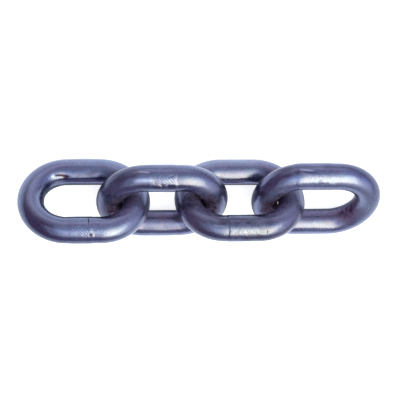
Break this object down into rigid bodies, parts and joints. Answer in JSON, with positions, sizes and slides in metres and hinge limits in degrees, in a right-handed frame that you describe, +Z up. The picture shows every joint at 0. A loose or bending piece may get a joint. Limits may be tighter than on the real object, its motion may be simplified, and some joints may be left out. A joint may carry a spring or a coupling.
{
  "type": "short-link steel chain",
  "caption": "Straight, taut run of short-link chain: oval links of round steel bar, butt-welded shut in an arm and hooked through each other at right angles.",
  "frame": {"origin": "on the floor, below the middle of the chain", "axes": "+X along the chain from link_1 to link_4; +Y across it, to the side where link_2's raised arm is; +Z up from the floor, which is z = 0"},
  "size_m": [0.1808, 0.0382, 0.038],
  "materials": {
    "oiled_steel": "satin"
  },
  "bodies": {
    "link_1": {"link_1": "oiled_steel"},
    "link_2": {"link_2": "oiled_steel"},
    "link_3": {"link_3": "oiled_steel"},
    "link_4": {"link_4": "oiled_steel"}
  },
  "joints": [
    {"name": "swing_1_2", "type": "hinge", "parent": "link_1", "child": "link_2", "pos_m": [-0.03181, 0, 0.01891], "axis": [0, -0.7071, 0.7071], "range_deg": [-110, 110]},
    {"name": "swing_2_3", "type": "hinge", "parent": "link_2", "child": "link_3", "pos_m": [0.00673, 0, 0.01891], "axis": [0, 0.7071, 0.7071], "range_deg": [-110, 110]},
    {"name": "swing_3_4", "type": "hinge", "parent": "link_3", "child": "link_4", "pos_m": [0.04527, 0, 0.01891], "axis": [0, -0.7071, 0.7071], "range_deg": [-110, 110]}
  ]
}
